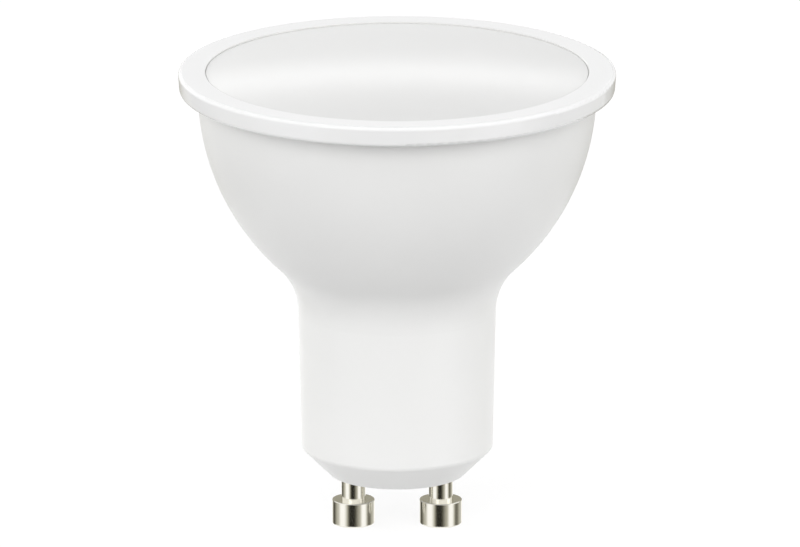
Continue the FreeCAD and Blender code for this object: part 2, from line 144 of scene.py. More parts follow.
# Injection-moulded plastics. The housing is satin PBT polyester, the ring polished polycarbonate, and the
# diffuser milk-white polycarbonate from an etched tool. Each has a slow change of shade through its wall, and
# a fine even grain from the tool, drawn coarser than its real 0.05 mm so that it shows. The ring's joint
# shade reach is how far from the axis, in millimetres, its joint with the diffuser is painted grey: painted
# shade for the shadow that falls in that joint.
plastics = {
    "housing": {"name": "satinPolyester", "colour": "#F0F0EF", "shade": "#ECECEB", "patch": 12.0,
                "roughness": 0.38, "ior": 1.57, "grain": 0.22, "depth": 0.003},
    "front_ring": {"name": "polishedPolycarbonate", "colour": "#F3F3F3", "shade": "#F0F0F0", "patch": 12.0,
                   "roughness": 0.07, "ior": 1.585, "grain": 0.6, "depth": 0.001,
                   # painted shade: this grey stands in for the shadow in the ring's joint with the diffuser
                   "jointShadeReach": 21.94, "jointShadeColour": "#DCDCDA"},
    "diffuser": {"name": "etchedPolycarbonate", "colour": "#E1E1E0", "shade": "#DDDDDC", "patch": 12.0,
                 "roughness": 0.19, "ior": 1.585, "grain": 0.18, "depth": 0.004},
}


def seamedFinish(name, look):
    # an even finish with painted shade: grey nearer to the axis than the joint shade reach, since little
    # light gets into that joint
    material, tree, place = newMaterial(name)
    shade, height = grain(tree, look, place)
    radius = aroundAxis(tree, place)[2]
    # painted shade: 1 inside the reach, where the joint's shadow falls, and there the colour turns grey
    paintedShadeMask = addNode(tree, "Math", {"operation": "LESS_THAN", 1: look["jointShadeReach"] * mm}, {0: radius})
    colour = addNode(tree, "Mix", {"data_type": "RGBA", 7: linear(look["jointShadeColour"])}, {0: paintedShadeMask, 6: shade})
    coat(tree, look, colour, height)
    return material


finishes = {node: (seamedFinish if "jointShadeReach" in look else evenFinish)(look["name"], look)
            for node, look in plastics.items()}
for node, finish in finishes.items():
    dress([node], finish)
print("stage: plastics")

# Turned brass pins with bright nickel plate and the fine rings that the tool left. Real ones are 0.05 mm
# apart, and these are 0.12 mm, so that they show.
pins = {"colour": "#F6F4EC", "shade": "#F0EDE3", "patch": 1.5, "grain": 0.05, "pitch": 0.12,
        "roughness": 0.14, "metallic": 1.0, "depth": 0.0005}


def turnedNickel(name, node):
    # bump = a sine of (distance from the pin's own axis + height), so sides and end faces both carry rings
    material, tree, place = newMaterial(name)
    middle = spanOf(node)[2]
    parts, _, radius = aroundAxis(tree, place, middle[0], middle[1])
    along = addNode(tree, "Math", {"operation": "ADD"}, {0: radius, 1: parts["Z"]})
    turns = addNode(tree, "Math", {"operation": "MULTIPLY", 1: math.tau / (pins["pitch"] * mm)}, {0: along})
    rings = addNode(tree, "Math", {"operation": "SINE"}, {0: turns})
    coat(tree, pins, grain(tree, pins, place)[0], rings)
    return material


dress(["pin_left"], turnedNickel("nickelPlateLeft", "pin_left"))
dress(["pin_right"], turnedNickel("nickelPlateRight", "pin_right"))
print("stage: pins")

# The heat sink is aluminium sheet drawn into a cup: streaks run up its wall and outwards on its floor.
heatSink = {"colour": "#C9CBCD", "shade": "#B9BCBF", "patch": 6.0, "grain": 0.3, "metallic": 1.0,
            "roughness": 0.3, "depth": 0.008, "round": 20.0, "along": 0.03}


def drawnAluminium():
    # noise of the direction from the axis, set out on a circle, plus a small share of the place itself
    material, tree, place = newMaterial("drawnAluminium")
    flat = aroundAxis(tree, place)[1]
    outward = addNode(tree, "VectorMath", {"operation": "NORMALIZE"}, {0: flat})
    reach = heatSink["round"] * mm
    circle = addNode(tree, "VectorMath", {"operation": "SCALE", "Scale": reach}, {0: outward})
    along = addNode(tree, "VectorMath", {"operation": "SCALE", "Scale": heatSink["along"]}, {0: place})
    streaks = addNode(tree, "VectorMath", {"operation": "ADD"}, {0: circle, 1: along})
    shade, height = grain(tree, heatSink, streaks)
    coat(tree, heatSink, shade, height)
    return material


dress(["heat_sink"], drawnAluminium())

# The light board is aluminium under a white solder mask, which stands a little higher over its copper: a
# ring of pads with a break under each package. Its side and back are bare metal.
lightBoard = {"colour": "#F0F0EC", "shade": "#E6E6E0", "patch": 5.0, "grain": 0.12, "roughness": 0.35,
              "ior": 1.5, "depth": 0.04, "copperHalf": 1.7, "breakHalf": 0.12, "maskDepth": 0.05,
              "fineShare": 0.05}
packages = [name for name in sorted(nodes) if name.startswith("led_")]
packageCircle = float(np.hypot(*spanOf(packages[0])[2][:2]))


def whiteSolderMask():
    # copper = the ring |distance - circle| < half, less the breaks where cos(count / 2 * angle) is near 0;
    # height = copper + a small share of the fine noise
    material, tree, place = newMaterial("whiteSolderMask")
    shade, fine = grain(tree, lightBoard, place)
    parts, _, radius = aroundAxis(tree, place)
    half = lightBoard["copperHalf"] * mm
    ring = addNode(tree, "Math", {"operation": "COMPARE", 1: packageCircle, 2: half}, {0: radius})
    angle = addNode(tree, "Math", {"operation": "ARCTAN2"}, {0: parts["Y"], 1: parts["X"]})
    turns = addNode(tree, "Math", {"operation": "MULTIPLY", 1: len(packages) / 2}, {0: angle})
    wave = addNode(tree, "Math", {"operation": "COSINE"}, {0: turns})
    breaks = addNode(tree, "Math", {"operation": "COMPARE", 1: 0.0, 2: lightBoard["breakHalf"]}, {0: wave})
    copper = addNode(tree, "Math", {"operation": "SUBTRACT", "use_clamp": True}, {0: ring, 1: breaks})
    height = addNode(tree, "Math", {"operation": "MULTIPLY_ADD", 1: lightBoard["fineShare"]},
                     {0: fine, 2: copper})
    maskFoot = spanOf("light_board")[1][2] - lightBoard["maskDepth"] * mm
    bare = addNode(tree, "Math", {"operation": "LESS_THAN", 1: maskFoot}, {0: parts["Z"]})
    coat(tree, lightBoard, shade, height, bare)
    return material


dress(["light_board"], whiteSolderMask())

# Light-emitting packages: glossy white polyamide with a tinned terminal under each end.
package = {"colour": "#F2F1EA", "shade": "#EAE8DF", "patch": 1.0, "grain": 0.08, "roughness": 0.3,
           "ior": 1.53, "depth": 0.004, "bodyHalf": 1.5, "terminalHeight": 0.25}


def whitePolyamide():
    # terminals: further than half a body from the packages' circle, and near the board
    material, tree, place = newMaterial("whitePolyamide")
    shade, height = grain(tree, package, place)
    parts, _, radius = aroundAxis(tree, place)
    half = package["bodyHalf"] * mm
    inBody = addNode(tree, "Math", {"operation": "COMPARE", 1: packageCircle, 2: half}, {0: radius})
    top = spanOf(packages[0])[0][2] + package["terminalHeight"] * mm
    low = addNode(tree, "Math", {"operation": "LESS_THAN", 1: top}, {0: parts["Z"]})
    ends = addNode(tree, "Math", {"operation": "SUBTRACT", "use_clamp": True}, {0: low, 1: inBody})
    coat(tree, package, shade, height, ends)
    return material


dress(packages, whitePolyamide())

# Zinc-plated steel screws: a bluish plate, and a thread that the solids leave plain.
screws = {"colour": "#B9BDC2", "shade": "#A8AEB5", "patch": 0.8, "grain": 0.1, "metallic": 1.0,
          "roughness": 0.34, "depth": 0.2, "pitch": 0.8, "head": 1.3, "headHalf": 2.1}


def zincPlatedSteel():
    # thread = sine of (turns up the height - angle), each screw about its own axis, on the shank alone
    material, tree, place = newMaterial("zincPlatedSteel")
    high = spanOf("board_screws")[1]
    parts = addNode(tree, "SeparateXYZ", {}, {"Vector": place}).outputs
    side = addNode(tree, "Math", {"operation": "SIGN"}, {0: parts["Y"]})
    across = addNode(tree, "Math", {"operation": "MULTIPLY_ADD", 1: screws["headHalf"] * mm - high[1]},
                     {0: side, 2: parts["Y"]})
    angle = addNode(tree, "Math", {"operation": "ARCTAN2"}, {0: across, 1: parts["X"]})
    anglePerMetre = math.tau / (screws["pitch"] * mm)
    climb = addNode(tree, "Math", {"operation": "MULTIPLY", 1: anglePerMetre}, {0: parts["Z"]})
    phase = addNode(tree, "Math", {"operation": "SUBTRACT"}, {0: climb, 1: angle})
    thread = addNode(tree, "Math", {"operation": "SINE"}, {0: phase})
    headFoot = high[2] - screws["head"] * mm
    shank = addNode(tree, "Math", {"operation": "LESS_THAN", 1: headFoot}, {0: parts["Z"]})
    height = addNode(tree, "Math", {"operation": "MULTIPLY"}, {0: thread, 1: shank})
    coat(tree, screws, grain(tree, screws, place)[0], height)
    return material


dress(["board_screws"], zincPlatedSteel())
print("stage: heat sink and light board")

# The driver board is glass laminate under a green solder mask. Copper fills it in patches with narrow gaps
# between them, and the cut edge shows the yellowish laminate.
driverBoard = {"colour": "#1E7A45", "shade": "#1A6E3E", "patch": 4.0, "grain": 0.1, "roughness": 0.32,
               "ior": 1.52, "depth": 0.03, "gapColour": "#155A33", "edgeColour": "#B8B07C", "cell": 3.6,
               "gap": 0.055, "maskHalf": 0.57, "fineShare": 0.05}


def greenSolderMask():
    # copper = further from a cell's edge than the gap, in cells of the place along X and Z;
    # height = copper + a small share of the fine noise
    material, tree, place = newMaterial("greenSolderMask")
    shade, fine = grain(tree, driverBoard, place)
    level = addNode(tree, "VectorMath", {"operation": "MULTIPLY", 1: (1, 0, 1)}, {0: place})
    cells = {"feature": "DISTANCE_TO_EDGE", "Scale": 1 / (driverBoard["cell"] * mm)}
    edge = addNode(tree, "TexVoronoi", cells, {"Vector": level})
    copper = addNode(tree, "Math", {"operation": "GREATER_THAN", 1: driverBoard["gap"]}, {0: edge})
    mask = addNode(tree, "Mix", {"data_type": "RGBA", 6: linear(driverBoard["gapColour"])},
                   {0: copper, 7: shade})
    parts = addNode(tree, "SeparateXYZ", {}, {"Vector": place}).outputs
    half = driverBoard["maskHalf"] * mm
    inside = addNode(tree, "Math", {"operation": "COMPARE", 1: 0.0, 2: half}, {0: parts["Y"]})
    colour = addNode(tree, "Mix", {"data_type": "RGBA", 7: linear(driverBoard["edgeColour"])},
                     {0: inside, 6: mask})
    height = addNode(tree, "Math", {"operation": "MULTIPLY_ADD", 1: driverBoard["fineShare"]},
                     {0: fine, 2: copper})
    coat(tree, driverBoard, colour, height)
    return material


dress(["driver_board"], greenSolderMask())

# Black epoxy packages, moulded matt, with a round dimple at the first lead and tinned leads at both sides.
epoxy = {"colour": "#1D1D1E", "shade": "#262627", "patch": 0.8, "grain": 0.07, "roughness": 0.55,
         "ior": 1.55, "depth": 0.02, "bodyHalf": 1.95, "dimple": 0.32, "dimpleIn": (0.75, 0.8),
         "fineShare": 0.15}


def mouldedEpoxy(name, node):
    # leads: further out than half a body; dimple: nearer to its middle than its radius;
    # height = 1 outside the dimple + a share of the fine noise
    material, tree, place = newMaterial(name)
    shade, fine = grain(tree, epoxy, place)
    low, high = spanOf(node)[:2]
    inX, inZ = epoxy["dimpleIn"]
    centre = (-(epoxy["bodyHalf"] - inX) * mm, low[1], high[2] - inZ * mm)
    away = addNode(tree, "VectorMath", {"operation": "DISTANCE", 1: centre}, {0: place})
    flat = addNode(tree, "Math", {"operation": "GREATER_THAN", 1: epoxy["dimple"] * mm}, {0: away})
    height = addNode(tree, "Math", {"operation": "MULTIPLY_ADD", 1: epoxy["fineShare"]}, {0: fine, 2: flat})
    parts = addNode(tree, "SeparateXYZ", {}, {"Vector": place}).outputs
    out = addNode(tree, "Math", {"operation": "ABSOLUTE"}, {0: parts["X"]})
    leads = addNode(tree, "Math", {"operation": "GREATER_THAN", 1: epoxy["bodyHalf"] * mm}, {0: out})
    coat(tree, epoxy, shade, height, leads)
    return material


dress(["bridge_rectifier"], mouldedEpoxy("mouldedEpoxyRectifier", "bridge_rectifier"))
dress(["driver_chip"], mouldedEpoxy("mouldedEpoxyChip", "driver_chip"))

# The fuse resistor has a matt cement coat with plain bands round its waist, and tinned leads past its ends.
resistor = {"colour": "#7296A6", "shade": "#6A8C9C", "patch": 0.9, "grain": 0.12, "roughness": 0.7,
            "ior": 1.5, "depth": 0.03, "band": "#4A3A33", "bandPitch": 0.9, "bandShare": 0.35,
            "waistHalf": 1.7, "bodyHalf": 3.2}


def cementCoat():
    # bands = the height over the pitch, its fraction under a share, within the waist
    material, tree, place = newMaterial("cementCoat")
    shade, height = grain(tree, resistor, place)
    middle = spanOf("fuse_resistor")[2][2]
    upright = addNode(tree, "SeparateXYZ", {}, {"Vector": place}).outputs["Z"]
    bandsPerMetre = 1 / (resistor["bandPitch"] * mm)
    step = addNode(tree, "Math", {"operation": "MULTIPLY", 1: bandsPerMetre}, {0: upright})
    share = addNode(tree, "Math", {"operation": "FRACT"}, {0: step})
    band = addNode(tree, "Math", {"operation": "LESS_THAN", 1: resistor["bandShare"]}, {0: share})
    waistHalf, bodyHalf = resistor["waistHalf"] * mm, resistor["bodyHalf"] * mm
    waist = addNode(tree, "Math", {"operation": "COMPARE", 1: middle, 2: waistHalf}, {0: upright})
    both = addNode(tree, "Math", {"operation": "MULTIPLY"}, {0: band, 1: waist})
    colour = addNode(tree, "Mix", {"data_type": "RGBA", 7: linear(resistor["band"])}, {0: both, 6: shade})
    body = addNode(tree, "Math", {"operation": "COMPARE", 1: middle, 2: bodyHalf}, {0: upright})
    leads = addNode(tree, "Math", {"operation": "SUBTRACT", 0: 1.0}, {1: body})
    coat(tree, resistor, colour, height, leads)
    return material


dress(["fuse_resistor"], cementCoat())

# Aluminium capacitor cans in a shrunk dark sleeve with one pale stripe. The sleeve leaves the end face bare,
# which is scored with a cross.
cans = {"colour": "#1E2740", "shade": "#192036", "patch": 2.0, "grain": 0.15, "roughness": 0.28, "ior": 1.54,
        "depth": 0.03, "stripe": "#B9C0CC", "stripeFrom": 0.92, "sleeveOver": 0.65, "score": 0.1}


def sleevedCan(name, node, face):
    # stripe = where the direction from the can's axis points away from the board; bare = the top inside the
    # sleeve's edge
    material, tree, place = newMaterial(name)
    low, high, middle = spanOf(node)
    shade, fine = grain(tree, cans, place)
    parts, flat, radius = aroundAxis(tree, place, middle[0], middle[1])
    outward = addNode(tree, "VectorMath", {"operation": "NORMALIZE"}, {0: flat})
    facing = addNode(tree, "VectorMath", {"operation": "DOT_PRODUCT", 1: (0, face, 0)}, {0: outward})
    stripe = addNode(tree, "Math", {"operation": "GREATER_THAN", 1: cans["stripeFrom"]}, {0: facing})
    colour = addNode(tree, "Mix", {"data_type": "RGBA", 7: linear(cans["stripe"])}, {0: stripe, 6: shade})
    bareReach = (high[0] - low[0]) / 2 - cans["sleeveOver"] * mm
    inner = addNode(tree, "Math", {"operation": "LESS_THAN", 1: bareReach}, {0: radius})
    score = cans["score"] * mm
    top = addNode(tree, "Math", {"operation": "GREATER_THAN", 1: high[2] - score}, {0: parts["Z"]})
    bare = addNode(tree, "Math", {"operation": "MULTIPLY"}, {0: inner, 1: top})
    lineX = addNode(tree, "Math", {"operation": "COMPARE", 1: 0.0, 2: score}, {0: parts["X"]})
    lineY = addNode(tree, "Math", {"operation": "COMPARE", 1: 0.0, 2: score}, {0: parts["Y"]})
    cross = addNode(tree, "Math", {"operation": "MAXIMUM"}, {0: lineX, 1: lineY})
    scored = addNode(tree, "Math", {"operation": "MULTIPLY"}, {0: cross, 1: bare})
    height = addNode(tree, "Math", {"operation": "SUBTRACT"}, {0: fine, 1: scored})
    coat(tree, cans, colour, height, bare)
    return material


dress(["input_capacitor"], sleevedCan("sleevedCanInput", "input_capacitor", 1))
dress(["output_capacitor"], sleevedCan("sleevedCanOutput", "output_capacitor", -1))

# Sintered ferrite: dark, dull and finely pitted. Enamelled copper: bright under a clear brownish film.
ferrite = {"colour": "#3A3A3C", "shade": "#2E2E30", "patch": 0.5, "grain": 0.12, "roughness": 0.62,
           "ior": 2.0, "depth": 0.03}
copper = {"colour": "#C06A35", "shade": "#A9562A", "patch": 1.2, "grain": 0.08, "roughness": 0.24,
          "metallic": 1.0, "depth": 0.002}
dress(["inductor_core"], evenFinish("sinteredFerrite", ferrite))
enamelledCopper = evenFinish("enamelledCopper", copper)
dress(["inductor_winding"], enamelledCopper)

# White silicone sleeves, matt and faintly uneven. The stripped and soldered ends are tinned.
sleeve = {"colour": "#E4E4DF", "shade": "#DADAD4", "patch": 1.5, "grain": 0.1, "roughness": 0.5, "ior": 1.41,
          "depth": 0.01, "solder": 0.5, "stripped": 1.0, "landing": 2.0, "hump": 1.75, "padFrom": 3.5}


def nearBoard(tree, parts):
    # 1 within a solder cone's height of the driver board's front
    front = spanOf("driver_board")[0][1] - sleeve["solder"] * mm
    return addNode(tree, "Math", {"operation": "GREATER_THAN", 1: front}, {0: parts["Y"]})


def mainsSleeve():
    # tinned: the stripped end in the pin, and the landing on the board near the wire's top
    material, tree, place = newMaterial("siliconeMainsSleeve")
    low, high = spanOf("wire_live")[:2]
    parts = addNode(tree, "SeparateXYZ", {}, {"Vector": place}).outputs
    footEnd = low[2] + sleeve["stripped"] * mm
    topStart = high[2] - sleeve["landing"] * mm
    foot = addNode(tree, "Math", {"operation": "LESS_THAN", 1: footEnd}, {0: parts["Z"]})
    top = addNode(tree, "Math", {"operation": "GREATER_THAN", 1: topStart}, {0: parts["Z"]})
    landing = addNode(tree, "Math", {"operation": "MULTIPLY"}, {0: top, 1: nearBoard(tree, parts)})
    ends = addNode(tree, "Math", {"operation": "MAXIMUM"}, {0: foot, 1: landing})
    shade, height = grain(tree, sleeve, place)
    coat(tree, sleeve, shade, height, ends)
    return material


def lightSleeve():
    # tinned: the landing on the driver board at the wire's foot, and the one on the light board's pads
    material, tree, place = newMaterial("siliconeLightSleeve")
    low, high = spanOf("wire_led_plus")[:2]
    parts = addNode(tree, "SeparateXYZ", {}, {"Vector": place}).outputs
    footEnd = low[2] + sleeve["landing"] * mm
    foot = addNode(tree, "Math", {"operation": "LESS_THAN", 1: footEnd}, {0: parts["Z"]})
    start = addNode(tree, "Math", {"operation": "MULTIPLY"}, {0: foot, 1: nearBoard(tree, parts)})
    out = addNode(tree, "Math", {"operation": "ABSOLUTE"}, {0: parts["X"]})
    onPad = addNode(tree, "Math", {"operation": "GREATER_THAN", 1: sleeve["padFrom"] * mm}, {0: out})
    level = addNode(tree, "Math", {"operation": "COMPARE", 1: high[2] - sleeve["hump"] * mm,
                                   2: sleeve["solder"] / 2 * mm}, {0: parts["Z"]})
    end = addNode(tree, "Math", {"operation": "MULTIPLY"}, {0: onPad, 1: level})
    ends = addNode(tree, "Math", {"operation": "MAXIMUM"}, {0: start, 1: end})
    shade, height = grain(tree, sleeve, place)
    coat(tree, sleeve, shade, height, ends)
    return material


dress(["wire_live", "wire_neutral"], mainsSleeve())
dress(["wire_led_plus", "wire_led_minus"], lightSleeve())
print("stage: driver board and wires")

sharpAngle = 35  # degrees between two faces, past which their edge is drawn sharp


def closedMesh(name, points, rowsClose):
    # points[row, column] joined by quads round each row. The rows close on each other, or each end row on a
    # point in its middle
    rows, columns = points.shape[:2]
    index = np.arange(rows * columns).reshape(rows, columns)
    if rowsClose:
        first, second = index, np.roll(index, -1, 0)
    else:
        first, second = index[:-1], index[1:]
    quads = np.stack([first, np.roll(first, -1, 1), np.roll(second, -1, 1), second], -1).reshape(-1, 4)
    vertices = points.reshape(-1, 3)
    faces = quads.tolist()
    if not rowsClose:
        vertices = np.vstack([vertices, points[0].mean(0), points[-1].mean(0)])
        foot = np.full(columns, rows * columns)
        faces += np.stack([np.roll(index[0], -1), index[0], foot], -1).tolist()
        faces += np.stack([index[-1], np.roll(index[-1], -1), foot + 1], -1).tolist()
    mesh = bpy.data.meshes.new(name)
    mesh.from_pydata(vertices.tolist(), [], faces)
    mesh.shade_smooth()
    mesh.set_sharp_from_angle(angle=math.radians(sharpAngle))
    return mesh


def addPiece(name, mesh, material):
    # a new piece sits at the origin and rides on the part's one body
    mesh.materials.append(material)
    piece = bpy.data.objects.new(name, mesh)
    bpy.context.scene.collection.objects.link(piece)
    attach(piece, "root")
    return piece


# The diffuser's dome. Its edge lies a little lower than the ring's lip, which leaves a fine step all round.
# The arcs run from the start, a share of the way out, to the edge.
lens = {"edge": 21.79, "ringTop": 53.6, "step": 0.12, "wall": 1.1, "flange": 0.65,
        "columns": 192, "steps": 40, "start": 0.02}


def makeLens():
    # a profile of radius and height, in millimetres, carried round the axis: both faces of the dome are arcs,
    # height = top - R + sqrt(R * R - radius * radius), with R = (edge * edge + rise * rise) / (2 * rise)
    low, high = spanOf("diffuser")[:2]
    foot, top, reach = low[2] / mm, high[2] / mm, high[0] / mm
    edge = lens["edge"]
    rise = top - lens["ringTop"] + lens["step"]
    bend = (edge ** 2 + rise ** 2) / (2 * rise)
    inner = edge - lens["wall"]
    out = np.linspace(lens["start"], 1, lens["steps"])
    outerArc = np.stack([out * edge, top - bend + np.sqrt(bend ** 2 - (out * edge) ** 2)], 1)
    flangeTop = foot + lens["flange"]
    rim = np.array([(edge, flangeTop), (reach, flangeTop), (reach, foot), (inner, foot)])
    back = out[::-1] * inner
    innerArc = np.stack([back, top - lens["wall"] - bend + np.sqrt(bend ** 2 - back ** 2)], 1)
    profile = np.vstack([outerArc, rim, innerArc])[::-1] * mm
    angle = np.linspace(0, math.tau, lens["columns"], endpoint=False)
    points = np.stack([profile[:, :1] * np.cos(angle), profile[:, :1] * np.sin(angle),
                       profile[:, 1:] + 0 * angle], -1)
    mesh = closedMesh("diffuser_lens", points, False)
    piece = addPiece("diffuser_lens", mesh, finishes["diffuser"])
    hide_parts("diffuser")


# The inductor's winding, turn by turn, between the ferrite's flanges.
winding = {"wire": 0.3, "columns": 96, "rowsPerTurn": 10, "bore": 1.65}


def makeWinding():
    # at angle a and place y along the axis, d is how far y is from the middle of the nearest turn, and that
    # middle moves by one wire in each turn; distance from the axis = reach - w + sqrt(w * w - d * d), with w
    # half a wire. The first and last rows lie on the bore, so that the rows close into a tube
    low, high, middle = spanOf("inductor_winding")
    reach = (high[2] - low[2]) / 2
    half = winding["wire"] * mm / 2
    turns = round((high[1] - low[1]) / (2 * half))
    angle = np.linspace(0, math.tau, winding["columns"], endpoint=False)
    along = np.linspace(low[1], high[1], turns * winding["rowsPerTurn"] + 1)
    climb = along[:, None] - low[1] - angle / math.tau * 2 * half
    d = (climb + half) % (2 * half) - half
    distance = reach - half + np.sqrt(half * half - d * d)
    bore = np.full((1, len(angle)), winding["bore"] * mm)
    distance = np.vstack([bore, distance, bore])
    along = np.concatenate([along[:1], along, along[-1:]])
    points = np.stack([middle[0] + distance * np.sin(angle), along[:, None] + 0 * distance,
                       middle[2] + distance * np.cos(angle)], -1)
    mesh = closedMesh("winding_turns", points, True)
    piece = addPiece("winding_turns", mesh, enamelledCopper)
    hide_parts("inductor_winding")


# Silicone with yellow phosphor powder fills each package's window and stands up in a low dome.
# Its rings run in from the window's edge to the start, a share of the way out.
gel = {"colour": "#F1C84B", "shade": "#E8BA3C", "patch": 0.5, "grain": 0.06, "roughness": 0.22,
       "ior": 1.41, "depth": 0.006, "half": (1.38, 1.03), "corner": 5.0, "fill": 0.11, "rise": 0.07,
       "columns": 48, "rings": 8, "start": 0.1}


def makeGels():
    # outline at angle a: (|cos a| ** (2 / n), |sin a| ** (2 / n)) with their signs, times half the window,
    # where n is the corner; the height at share s of the way out is rise * (1 - s * s)
    material = evenFinish("phosphorSilicone", gel)
    a = np.linspace(0, math.tau, gel["columns"], endpoint=False)
    power = 2 / gel["corner"]
    outline = np.stack([np.sign(np.cos(a)) * np.abs(np.cos(a)) ** power * gel["half"][0],
                        np.sign(np.sin(a)) * np.abs(np.sin(a)) ** power * gel["half"][1]], -1) * mm
    share = np.linspace(1, gel["start"], gel["rings"])
    share = np.concatenate([share[-1:], share[:1], share])
    height = np.concatenate([[-gel["fill"]] * 2, gel["rise"] * (1 - share[2:] ** 2)]) * mm
    for node in packages:
        high, middle = spanOf(node)[1:]
        turn = math.atan2(middle[1], middle[0])
        outward = np.array([math.cos(turn), math.sin(turn)])
        sideways = np.array([-outward[1], outward[0]])
        flat = outline[:, :1] * outward + outline[:, 1:] * sideways
        level = middle[:2] + share[:, None, None] * flat
        upright = np.broadcast_to((high[2] + height)[:, None, None], (len(share), len(a), 1))
        points = np.concatenate([level, upright], -1)
        name = node.replace("led", "led_gel")
        addPiece(name, closedMesh(name, points, False), material)


makeLens()
makeWinding()
makeGels()
print("stage: lens, winding and gels")

# The stage: a pale floor that shows the page's white and keeps a faint shadow. Distances are in metres.
stage = {"floor": 2.5, "nearColour": "#D6D6D6", "farColour": "#9C9C9C", "near": 0.04, "far": 0.2,
         "emission": 0.84, "diffuse": 0.2, "world": 0.25}
white = linear("#FFFFFF")


def whiteForView(tree):
    # 1 for the rays that see a background: from the camera, off a gloss or through glass; 0 for diffuse light
    rays = addNode(tree, "LightPath", {})
    first = addNode(tree, "Math", {"operation": "MAXIMUM"},
                    {0: rays.outputs["Is Camera Ray"], 1: rays.outputs["Is Glossy Ray"]})
    return addNode(tree, "Math", {"operation": "MAXIMUM"}, {0: first, 1: rays.outputs["Is Transmission Ray"]})


def makeWorld():
    # strength 1 where it is seen, a low fill where it only lights
    world = bpy.data.worlds.new("studio")
    world.use_nodes = True
    tree = world.node_tree
    tree.nodes.clear()
    page = addNode(tree, "Background", {"Color": white, "Strength": 1.0})
    room = addNode(tree, "Background", {"Color": white, "Strength": stage["world"]})
    both = addNode(tree, "MixShader", {}, {0: whiteForView(tree), 1: room, 2: page})
    addNode(tree, "OutputWorld", {}, {"Surface": both})
    bpy.context.scene.world = world


def makeFloor():
    # a flat square under the pins' tips, part emission and part diffuse, so only the diffuse part can darken.
    # The light that it throws back falls off with the distance from the bulb
    half = stage["floor"] / 2
    mesh = bpy.data.meshes.new("floor")
    corners = [(-half, -half, 0), (half, -half, 0), (half, half, 0), (-half, half, 0)]
    mesh.from_pydata(corners, [], [(0, 1, 2, 3)])
    material, tree, place = newMaterial("paleFloor")
    away = addNode(tree, "VectorMath", {"operation": "LENGTH"}, {0: place})
    reach = {"interpolation_type": "SMOOTHSTEP", 1: stage["near"], 2: stage["far"]}
    fall = addNode(tree, "MapRange", reach, {0: away})
    shades = {"data_type": "RGBA", 6: linear(stage["nearColour"]), 7: linear(stage["farColour"])}
    colour = addNode(tree, "Mix", shades, {0: fall})
    paper = addNode(tree, "BsdfDiffuse", {}, {"Color": colour})
    glow = addNode(tree, "Emission", {"Strength": stage["emission"]})
    shadowed = addNode(tree, "BsdfDiffuse", {"Color": [stage["diffuse"]] * 3 + [1.0]})
    page = addNode(tree, "AddShader", {}, {0: glow, 1: shadowed})
    both = addNode(tree, "MixShader", {}, {0: whiteForView(tree), 1: paper, 2: page})
    addNode(tree, "OutputMaterial", {}, {"Surface": both})
    mesh.materials.append(material)
    floor = bpy.data.objects.new("floor", mesh)
    bpy.context.scene.collection.objects.link(floor)
    floor.visible_glossy = False


def directionOf(azimuth, elevation):
    # away from the bulb, one metre long: (sin a * cos e, -cos a * cos e, sin e). Azimuth 0 is towards the
    # camera, and positive to its right
    a = math.radians(azimuth)
    e = math.radians(elevation)
    return Vector((math.sin(a) * math.cos(e), -math.cos(a) * math.cos(e), math.sin(e)))


# Soft boxes round the bulb. Some light its body and leave no reflection; the others show only in the gloss.
# Angles are in degrees, powers in watts and lengths in metres. All face one point on the bulb's axis.
lamps = {
    "keyLeft": {"azimuth": -36, "elevation": 31, "size": (1.6, 1.3), "power": 13.4, "gloss": False},
    "keyRight": {"azimuth": 36, "elevation": 31, "size": (1.6, 1.3), "power": 11.7, "gloss": False},
    "leftRearBox": {"azimuth": -130, "elevation": 8, "size": (1.2, 0.4), "power": 16.8, "gloss": False},
    "rightRearBox": {"azimuth": 108, "elevation": 8, "size": (0.9, 0.4), "power": 7.7, "gloss": False},
    "topBox": {"azimuth": 0, "elevation": 84, "size": (1.2, 1.2), "power": 3.8, "gloss": False},
    "backStrip": {"azimuth": -172, "elevation": 19.5, "size": (0.7, 0.1), "power": 0.36, "gloss": True},
    "glossLeft": {"azimuth": -35, "elevation": 26, "size": (0.9, 0.25), "power": 0.7, "gloss": True},
    "glossLow": {"azimuth": -30, "elevation": 13, "size": (0.6, 0.12), "power": 0.25, "gloss": True},
    "glossTop": {"azimuth": -30, "elevation": 84, "size": (0.5, 0.2), "power": 0.12, "gloss": True},
    "glossRight": {"azimuth": 80, "elevation": 20, "size": (0.8, 0.45), "power": 0.6, "gloss": True},
}
lampDistance = 1.5
lampAim = Vector((0, 0, 0.03))


def makeLamps():
    # place = the aim + the lamp's direction * its distance
    for name, lamp in lamps.items():
        light = bpy.data.lights.new(name, "AREA")
        light.shape = "RECTANGLE"
        light.size, light.size_y = lamp["size"]
        light.energy = lamp["power"]
        box = bpy.data.objects.new(name, light)
        box.location = directionOf(lamp["azimuth"], lamp["elevation"]) * lampDistance + lampAim
        box.rotation_euler = (box.location - lampAim).to_track_quat("Z", "Y").to_euler()
        box.visible_camera = False
        box.visible_diffuse = not lamp["gloss"]
        box.visible_glossy = lamp["gloss"]
        bpy.context.scene.collection.objects.link(box)


# What the pins mirror: a pale band all round, beyond the bulb's shadow and seen only in gloss, with dark and
# grey cards that fade softly into it. A card's middle is its azimuth, and its core and edge are degrees to
# each side of that. Distances and heights are in metres.
cards = {
    "front": {"middle": -8, "core": 10, "edge": 46, "grey": 0.025},
    "frontRight": {"middle": 24, "core": 10, "edge": 26, "grey": 0.45},
    "right": {"middle": 93, "core": 3, "edge": 30, "grey": 0.15},
    "rearRight": {"middle": 122, "core": 12, "edge": 28, "grey": 0.5},
    "left": {"middle": -128, "core": 4, "edge": 34, "grey": 0.08},
    "rearLeft": {"middle": -98, "core": 6, "edge": 28, "grey": 0.5},
}
band = {"from": 0, "to": 360, "distance": 0.7, "low": -0.45, "high": 0.05, "columns": 97,
        "white": 1.08, "tint": "#FFFAE0"}
